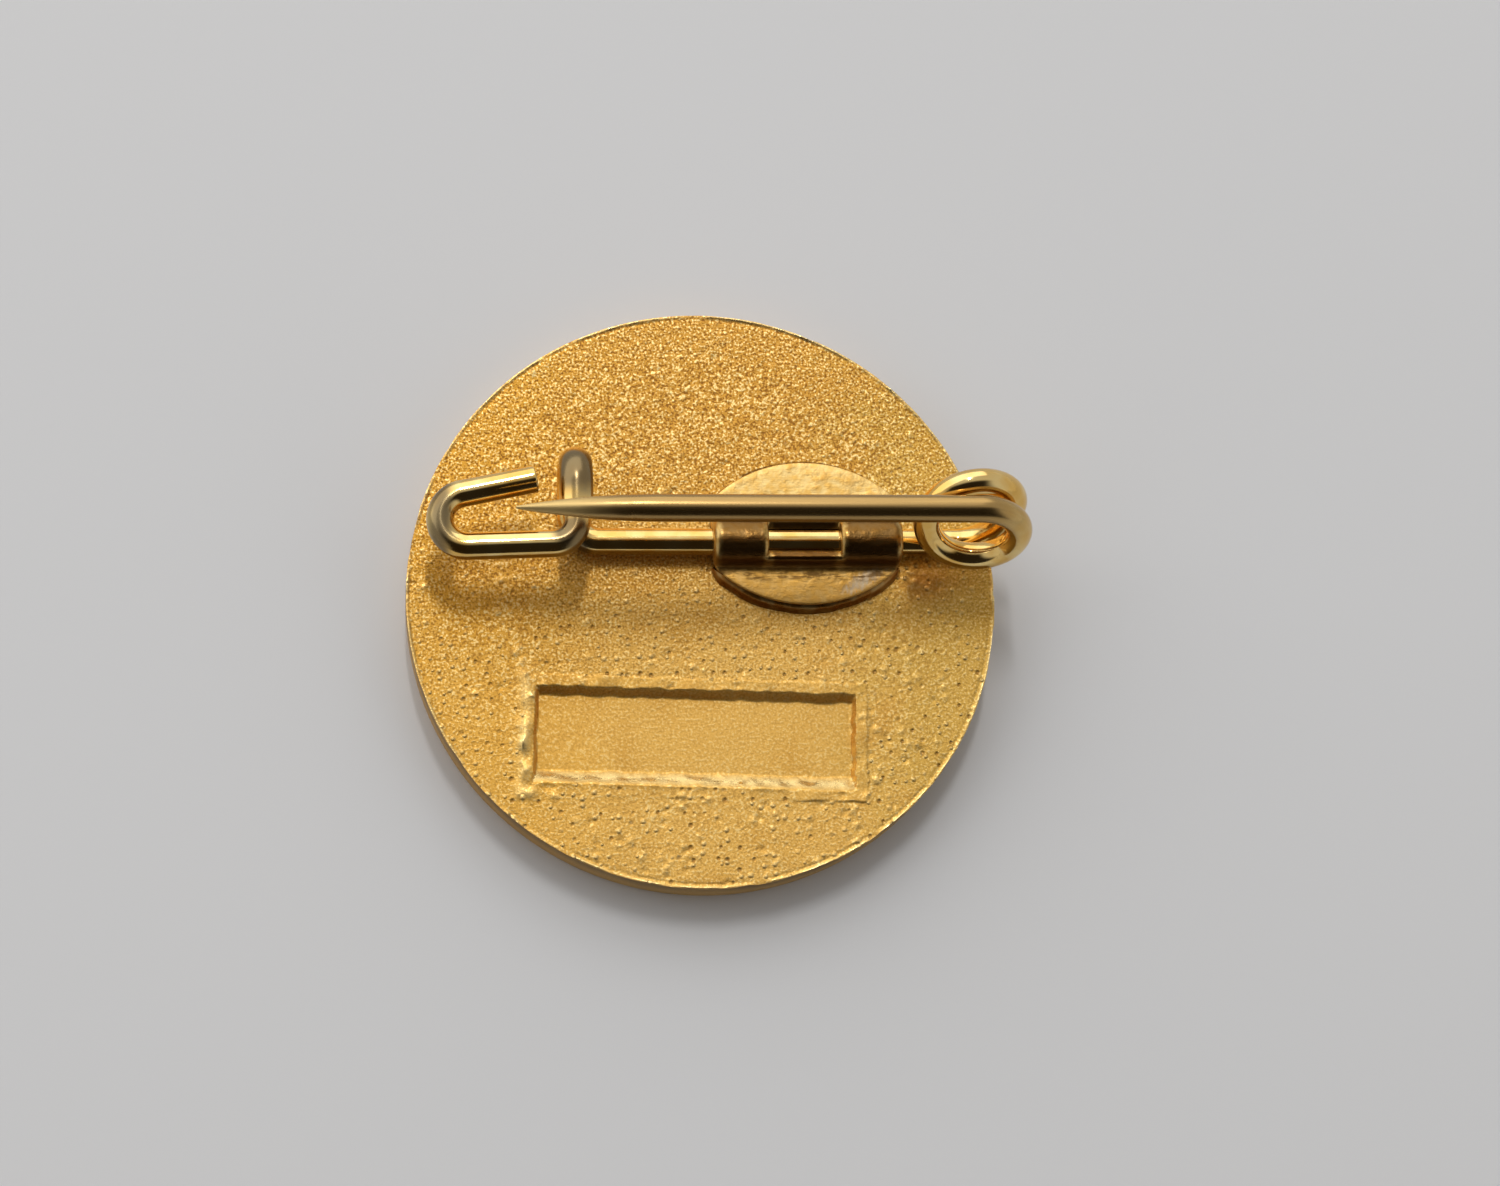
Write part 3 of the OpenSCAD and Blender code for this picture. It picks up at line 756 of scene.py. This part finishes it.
def makePlate(finish):
    line = plateSection()
    length = lengths(line)
    way = unit(np.gradient(line, length, axis=0))
    normal = np.c_[-way[:, 1], way[:, 0]]
    atY = lambda y: np.interp(y, line[:, 0], length)
    curl = np.array(plate["curl"])
    soft, end, crisp = curl * plate["arcRound"], curl * plate["endRound"], curl[::2] * plate["windowRound"]
    windowL, windowR = (plateX + plate["windowX"] + side * plate["windowW"] / 2 for side in (-1, 1))
    windowLow, windowHigh = (atY(wireY + side * plate["windowH"] / 2) for side in (-1, 1))
    x0, x1, step = plateLow[0], plateHigh[0], plate["step"]
    flat = stepped(x0 + end[-1], windowL - crisp[-1], step)
    before = np.concatenate([x0 + end, flat, windowL - crisp[::-1]])
    across = stepped(windowL, windowR, step)
    flat = stepped(windowR + crisp[-1], x1 - end[-1], step)
    after = np.concatenate([windowR + crisp, flat, x1 - end[::-1]])
    inner = stepped(windowLow, windowHigh, step)
    columns, top, bottom = np.concatenate([before, across, after]), [], []
    for x in columns:
        a, b = atY(plateEdge(x, -1)), atY(plateEdge(x, 1))
        lower = np.linspace(a + soft[-1], windowLow - crisp[-1], plate["rowsEach"])[1:-1]
        upper = np.linspace(windowHigh + crisp[-1], b - soft[-1], plate["rowsEach"])[1:-1]
        window = np.concatenate([windowLow - crisp[::-1], inner, windowHigh + crisp])
        at = np.concatenate([a + soft, lower, window, upper, b - soft[::-1]])
        place = np.c_[np.interp(at, length, line[:, 0]), np.interp(at, length, line[:, 1])]
        out = unit(np.c_[np.interp(at, length, normal[:, 0]), np.interp(at, length, normal[:, 1])])
        edge = np.minimum(at - a, b - at)
        awayX = max(windowL - x, x - windowR, 0)
        awayY = np.maximum(np.maximum(windowLow - at, at - windowHigh), 0)
        drop = rounding(edge, plate["arcRound"]) + rounding(min(x - x0, x1 - x), plate["endRound"])
        drop = drop + rounding(np.hypot(awayX, awayY), plate["windowRound"])
        dents = lumps(np.full(len(at), x), at, plate["dentSize"], plate["seed"])
        drop = drop + plate["dent"] * dents * eased(0, plate["dentIn"], edge)
        drop = np.minimum(drop, sheetT - plate["leastT"])
        top.append(np.c_[np.full(len(at), x), place - out * drop[:, None]])
        bottom.append(np.c_[np.full(len(at), x), place - out * sheetT])
    kept = np.ones((len(columns) - 1, len(at) - 1), bool)
    firstRow = len(soft) + len(lower) + len(crisp) - 1
    kept[len(before) - 1:len(before) + len(across), firstRow:firstRow + len(inner) + 1] = False
    makeSheet("bridgePlate", "bridge_plate", np.array(top), np.array(bottom), kept, finish)


def rounding(distance, radius):  # how far a rounded edge has dropped at a distance from it
    rest = np.clip(radius - distance, 0, radius)
    return radius - np.sqrt(radius ** 2 - rest ** 2)


def makeSheet(name, node, top, bottom, kept, finish):
    corner = np.arange(top.shape[0] * top.shape[1]).reshape(top.shape[:2])
    quads = np.stack([corner[:-1, :-1], corner[1:, :-1], corner[1:, 1:], corner[:-1, 1:]], -1)[kept]
    under = corner.size
    walls = [(b, a, a + under, b + under) for a, b in openEdges(quads)]
    faces = quads.tolist() + (quads[:, ::-1] + under).tolist() + sorted(walls)
    points = np.concatenate([top.reshape(-1, 3), bottom.reshape(-1, 3)])
    used, faces = compact(faces)
    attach(makePiece(name, node, points[used], faces, finish, crease=50), "badge")


def compact(faces):  # numbers of the points in use, and faces that count only those
    used = sorted({i for face in faces for i in face})
    number = {old: new for new, old in enumerate(used)}
    return used, [[number[i] for i in face] for face in faces]


# Solder: a thin film under the plate's wings that shows as an uneven fillet round their edge
solder = {
    "spread": {-1: 0.25, 1: 0.1}, "climb": {-1: 0.36, 1: 0.14}, "under": 0.3, "step": 0.06,
    "inset": 0.02, "fade": 0.5, "sink": 0.03, "uneven": 0.09, "lumpSize": 0.35, "seed": 31,
    "profile": ((1, 0), (0.97, 0.05), (0.86, 0.3), (0.6, 0.66), (0.3, 0.9)),  # shares of spread and of climb
}


def makeSolder(finish):
    points, faces, start = [], [], 0
    inset, under = solder["inset"], solder["under"]
    for side in (-1, 1):
        x = np.linspace(plateLow[0] + inset, plateHigh[0] - inset, int(plateW / solder["step"]))
        line = np.c_[x, plateEdge(x, side)]
        way = unit(np.gradient(line, axis=0))
        out = side * np.c_[-way[:, 1], way[:, 0]]
        ends = eased(0, solder["fade"], x - x[0] + inset) * eased(0, solder["fade"], x[-1] - x + inset)
        fade = np.sqrt(ends)
        uneven = 1 + solder["uneven"] * lumps(x, x * 0 + side, solder["lumpSize"], solder["seed"])
        wide, climb = solder["spread"][side] * uneven * fade, solder["climb"][side] * (0.4 + 0.6 * fade)
        section = [(-under, 0)] + [(wide * reach, share) for reach, share in solder["profile"]]
        section += [(-0.01, 1), (-under, 0.2)]
        rings = []
        for gap, share in section:  # share is how far up the plate's edge this line lies
            flat = line + out * np.reshape(gap, (-1, 1))
            low = dished(flat[:, 0], flat[:, 1]) - solder["sink"]
            rings.append(np.c_[flat, backZ + low + (climb - low) * share])
        rings = np.stack(rings, 1)
        points.append(rings.reshape(-1, 3))
        n, rows = len(section), start + len(section) * np.arange(len(x))
        for a, b in zip(rows[:-1], rows[1:]):
            faces += ringFaces(a, b, n)
        faces += [list(range(rows[0], rows[0] + n)), list(range(rows[-1], rows[-1] + n))]
        start += len(x) * n
    piece = makePiece("solderFillet", "solder_layer", np.concatenate(points), faces, finish, crease=60)
    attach(piece, "badge")


# Pin wire: one bent wire, in four pieces that meet face to face
wire = {"sides": 40, "step": 0.07, "endRound": 0.07}
coil = {
    "x": 9.62, "radius": 1.65, "pitch": 1.42, "lean": 25.0, "turns": 1.25, "ease": 0.2,
    "tailIn": 0.2, "pull": 0.55, "clean": (2.5, 6.0), "wear": 0.5, "wearIn": 0.8,
}
catch = {
    "x": -4.82, "reach": 1.65, "rise": 2.2, "bend": 0.9, "drop": 0.68,
    "side": 3.05, "endBend": 1.0, "slope": 2.0, "turn": 170.0, "tail": 2.75,
    "flatten": 1.22, "flattenY": (0.1, 0.9), "endRings": (0.9, 0.6, 0.3, 0.1, 0.0),
    "topWear": (1.1, 1.3), "footWear": (1.2, 0.8), "endWear": (0.85, 0.6),  # amount and size of each patch
    "topAt": 0.4, "footAt": (-0.15, -0.35),  # where the first two lie
}
point = {
    "length": 5.2, "tip": 0.06, "seed": 41,
    "hone": 0.012, "honeSize": 0.6, "honeWrap": 1.6, "honeFrom": (0.2, 1.5),
    "wear": 0.2, "wearFrom": (0.5, -2.5), "handled": 0.4, "handledTo": -2.0, "ground": (1.0, -1.5),
}


def evenly(path, step):  # points at even steps along a path
    path = np.asarray(path, float)
    length = lengths(path)
    at = np.linspace(0, length[-1], max(int(length[-1] / step), 1) + 1)
    return np.stack([np.interp(at, length, path[:, i]) for i in range(3)], 1)


def arcPoints(centre, spoke, towards, angle):
    a = np.radians(np.linspace(0, angle, 64))[:, None]
    return np.array(centre) + np.cos(a) * np.array(spoke) + np.sin(a) * np.array(towards)


def makeTube(name, node, path, radius, finish, wear=None, handled=None, reshape=None, ground=None):
    sides, count = wire["sides"], len(path)
    way = unit(np.gradient(path, axis=0))
    a = np.arange(sides) / sides * math.tau
    side, rings = np.array([0, 0, 1.0]), []
    for here, along, r in zip(path, way, radius):
        side = unit(side - along * (side @ along))
        ring = np.cos(a)[:, None] * side + np.sin(a)[:, None] * np.cross(along, side)
        rings.append(here + np.reshape(r, (-1, 1)) * ring)
    points = np.concatenate(rings)
    points = reshape(points) if reshape else points
    length = lengths(path)
    faces, corners = [], []
    for i in range(count - 1):
        faces += ringFaces(i * sides, (i + 1) * sides, sides)
        for k in range(sides):
            low, high = k / sides * math.tau * wireR, (k + 1) / sides * math.tau * wireR
            corners += [(length[i], low), (length[i], high), (length[i + 1], high), (length[i + 1], low)]
    for i in (0, count - 1):
        faces.append(list(range(i * sides, (i + 1) * sides)))
        corners += [(length[i], k / sides * math.tau * wireR) for k in range(sides)]
    along = np.repeat(length, sides)
    marks = {
        "wear": wear(points) if wear else 0 * along,
        "handled": handled(along) if handled else 0 * along,
        "ground": ground(along) if ground else 0 * along,
    }
    return makePiece(name, node, points, faces, finish, corners, marks)


def makeBase(finish):
    path = evenly([(baseLow[0], wireY, baseZ), (baseHigh[0], wireY, baseZ)], wire["step"] * 2)
    turn = np.linspace(0, 1.5, 12)[1:, None]  # a round end, inside the coil's wire that sways about it
    path = np.concatenate([path, path[-1] + wireR * np.sin(turn) * np.array([[1, 0, 0]])])
    radius = np.concatenate([np.full(len(path) - len(turn), wireR), wireR * np.cos(turn[:, 0]) * 0.995])
    piece = makeTube("baseWire", "base_wire", path, radius, finish)
    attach(piece, "badge")


def catchPath():
    b, rise, top = catch["bend"], catch["rise"], wireY + catch["reach"]
    guardY, guardZ, slope = wireY - catch["drop"], baseZ + rise, math.radians(catch["slope"])
    root = arcPoints((catch["x"] + b, wireY + b, baseZ), (0, -b, 0), (-b, 0, 0), 90)
    stand = arcPoints((catch["x"], top, baseZ + rise / 2), (0, 0, -rise / 2), (0, rise / 2, 0), 180)
    turnIn = arcPoints((catch["x"] - b, guardY + b, guardZ), (b, 0, 0), (0, -b, 0), 90 - catch["slope"])
    way = np.array([-math.cos(slope), -math.sin(slope), 0])
    across = np.array([way[1], -way[0], 0])
    end = turnIn[-1] + catch["side"] * way
    endBend = catch["endBend"]
    guard = arcPoints(end + endBend * across, -endBend * across, endBend * way, catch["turn"])
    turn = math.radians(catch["turn"])
    tip = guard[-1] + catch["tail"] * (math.cos(turn) * way + math.sin(turn) * across)
    return np.concatenate([[(baseLow[0], wireY, baseZ)], root, stand, turnIn, guard, [tip]])


def endRounded(path, radius):  # wire radius along a path whose last end has a rounded rim
    left = np.linalg.norm(path - path[-1], axis=1)
    rest = np.clip(wire["endRound"] - left, 0, wire["endRound"])
    return radius - wire["endRound"] + np.sqrt(wire["endRound"] ** 2 - rest ** 2)


def makeCatch(finish):
    path = evenly(catchPath(), wire["step"])
    way = unit(path[-1] - path[-2])
    back = wire["endRound"] * np.array(catch["endRings"])[:, None]
    path = np.concatenate([path[:-1], path[-1] - way * back])
    top = np.array([catch["x"], wireY + catch["reach"] + catch["topAt"], baseZ + catch["rise"]])
    footX, footY = catch["x"] + catch["footAt"][0], wireY + catch["footAt"][1]
    outer = catch["x"] - catch["bend"] - catch["side"] - catch["endBend"]

    def worn(patch, away):
        amount, size = catch[patch]
        return amount * bell(away, size)

    def wear(points):
        bend = worn("topWear", np.linalg.norm(points - top, axis=1))
        foot = worn("footWear", np.hypot(points[:, 0] - footX, points[:, 1] - footY))
        return np.maximum(bend, foot) + worn("endWear", points[:, 0] - outer)

    def flattened(points):  # the bending tool has spread the standing bend
        aside = points[:, 0] - catch["x"]
        amount = eased(*catch["flattenY"], points[:, 1] - wireY) * (np.abs(aside) < 1)
        points[:, 0] += aside * (catch["flatten"] - 1) * amount
        return points

    radius = endRounded(path, wireR)
    piece = makeTube("catchHook", "catch_hook", path, radius, finish, wear, reshape=flattened)
    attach(piece, "badge")


def coilPath():
    lean = math.radians(coil["lean"])
    up, axis = np.array([0, math.sin(lean), math.cos(lean)]), np.array([0, math.cos(lean), -math.sin(lean)])
    mid = np.array([coil["x"], wireY, armZ]) - coil["radius"] * up

    def helix(turns):
        ease = coil["ease"]
        gone = np.where(turns < ease, turns ** 2 / (2 * ease), turns - ease / 2)
        a = turns * math.tau
        ring = np.sin(a) * np.array([1, 0, 0]) + np.cos(a) * up
        return mid + coil["pitch"] * gone * axis + coil["radius"] * ring

    loops = helix(np.linspace(0, coil["turns"], 240)[:, None])
    way = unit(loops[-1] - loops[-2])
    end = np.array([coil["x"] - coil["tailIn"], wireY, baseZ])
    pullA = loops[-1] + coil["pull"] * (loops[-1][2] - baseZ) * way
    pullB = end + np.array([coil["pull"] * (loops[-1][0] - end[0]), 0, 0])
    u = np.linspace(0, 1, 60)[1:, None]
    tail = (1 - u) ** 3 * loops[-1] + 3 * u * (1 - u) ** 2 * pullA
    tail = tail + 3 * u * u * (1 - u) * pullB + u ** 3 * end
    return np.concatenate([[(armHigh[0], wireY, armZ)], loops, tail, [(baseHigh[0], wireY, baseZ)]])


def makeCoil(finish):
    path = evenly(coilPath(), wire["step"])
    outer = coil["x"] + coil["radius"] + wireR
    wear = lambda points: coil["wear"] * eased(outer - coil["wearIn"], outer, points[:, 0])
    handled = lambda along: eased(coil["clean"][1], coil["clean"][0], along)
    piece = makeTube("springCoil", "spring_coil", path, np.full(len(path), wireR), finish, wear, handled)
    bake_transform(piece)


def makeArm(finish):
    tipR, thick = point["tip"], wireR - point["tip"]
    tipX = armLow[0] + tipR
    shank = tipX + point["length"]
    bow = (point["length"] ** 2 + thick ** 2) / (2 * thick)
    straight, taper = np.linspace(armHigh[0], shank, 70)[:-1], np.linspace(shank, tipX, 110)[:-1]
    x = np.concatenate([straight, taper, tipX - tipR * np.sin(np.linspace(0, 1.5, 8))])
    into = np.clip(shank - x, 0, point["length"])
    radius = wireR - bow + np.sqrt(bow ** 2 - into ** 2)
    nose = np.clip(tipX - x, 0, tipR)
    radius = np.minimum(radius, np.where(nose > 0, np.sqrt(tipR ** 2 - nose ** 2), wireR))
    path = np.c_[x, np.full(len(x), wireY), np.full(len(x), armZ)]
    a = np.arange(wire["sides"]) / wire["sides"] * math.tau
    hone = lumps(x[:, None], point["honeWrap"] * np.cos(a), point["honeSize"], point["seed"])
    hone = point["hone"] * np.minimum(hone, 0)
    radius = radius[:, None] + hone * (eased(*point["honeFrom"], into) * radius / wireR)[:, None]
    bare, end = armHigh[0] - shank, armHigh[0] - armLow[0]  # where the point starts and ends, along the arm
    wear = lambda points: point["wear"] * eased(*point["wearFrom"], points[:, 0] - shank)
    handled = lambda along: 1 + point["handled"] * eased(bare, end + point["handledTo"], along)
    ground = lambda along: eased(bare + point["ground"][0], end + point["ground"][1], along)
    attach(makeTube("pinArm", "pin_arm", path, radius, finish, wear, handled, ground=ground), "pin")


# Camera, floor and light
view = {
    "place": (-11.412, -27.324, 109.493), "target": (1.752, 0.098, 1.9), "roll": -1.713,
    "lens": 72.0, "sensor": 36.0, "clip": (0.001, 20.0),
}
studio = {
    "floor": (0.74, 0.74, 0.745, 1), "floorSize": 640.0, "floorRough": 0.9, "floorGloss": 0.2,
    "lampAim": (0.0, 0.0, 2.0),
    "window": {"place": (-170.0, 310.0, 236.0), "size": (940.0, 440.0), "power": 1.32},
    "softbox": {"place": (-8.0, 182.0, 352.0), "size": (14.0, 84.0), "power": 0.255},
    "sky": (0.58, 0.57, 0.56, 1), "horizon": (0.62, 0.62, 0.62, 1), "skyFrom": (0.04, 0.3),
    "dark": (0.02, 0.016, 0.012, 1),  # the unlit part of the room, and where it fades out
    "darkBehind": (-0.12, 0.16), "darkAbove": (0.02, 0.16), "darkWide": (0.2, 0.5),
}


def makeCamera():
    data = bpy.data.cameras.new("camera")
    data.lens, data.sensor_width, data.sensor_fit = view["lens"], view["sensor"], "HORIZONTAL"
    data.clip_start, data.clip_end = view["clip"]
    camera = addObject("camera", data)
    place, target = Vector(view["place"]) * mm, Vector(view["target"]) * mm
    roll = Matrix.Rotation(math.radians(view["roll"]), 4, "Z")
    ahead = place - target
    right = Vector((0, 1, 0)).cross(ahead).normalized()
    up = ahead.normalized().cross(right)
    turn = Matrix((right, up, ahead.normalized())).transposed().to_4x4()
    camera.matrix_world = Matrix.Translation(place) @ turn @ roll
    bpy.context.scene.camera = camera


def makeFloor():
    half = studio["floorSize"] / 2 * mm
    mesh = bpy.data.meshes.new("floor")
    corners = [(-half, -half, 0), (half, -half, 0), (half, half, 0), (-half, half, 0)]
    mesh.from_pydata(corners, [], [(0, 1, 2, 3)])
    mesh.materials.append(newFinish("palePaper").shaded({
        "Base Color": studio["floor"], "Roughness": studio["floorRough"],
        "Specular IOR Level": studio["floorGloss"],
    }))
    floor = addObject("floor", mesh)


def makeLight():
    for name in ("window", "softbox"):
        spec = studio[name]
        data = bpy.data.lights.new(name, "AREA")
        data.shape, data.energy = "RECTANGLE", spec["power"]
        data.size, data.size_y = (s * mm for s in spec["size"])
        lamp = addObject(name, data)
        lamp.location = Vector(spec["place"]) * mm
        ahead = Vector(studio["lampAim"]) * mm - lamp.location
        lamp.rotation_euler = ahead.to_track_quat("-Z", "Y").to_euler()
        lamp.visible_camera = False
    world = bpy.data.worlds.new("studio")
    bpy.context.scene.world = world
    f = Finish(world)
    x, y, z = f.axes(f.add("TexCoord", {}, {}, 0))
    shade = f.ramped(0 - y, *studio["darkBehind"]) * f.ramped(z, *studio["darkAbove"])
    shade = shade * (1 - f.ramped(x * x, *studio["darkWide"]))
    colour = f.mixed(f.ramped(z, *studio["skyFrom"]), studio["horizon"], studio["sky"])
    colour = f.mixed(shade, colour, studio["dark"])
    f.add("OutputWorld", {}, {"Surface": f.add("Background", {}, {"Color": colour, "Strength": 1.0})})


bpy.context.scene.view_settings.view_transform = "Standard"
makeCamera()
makeFloor()
makeLight()
print("camera, floor and light are set")

makeBadge(blastedGilt())
makePlate(satinGilt())
makeSolder(dullSolder())
bright = wireGilt()
makeBase(bright)
makeCatch(bright)
makeCoil(bright)
makeArm(bright)
enamels = {slot: firedEnamel(slot, colour) for slot, colour in enamel["colours"].items()}
for node, slot in slotOf.items():
    if slot in enamels:
        frame["nodes"][node].data.materials.clear()
        frame["nodes"][node].data.materials.append(enamels[slot])
print("enamel finishes are set")
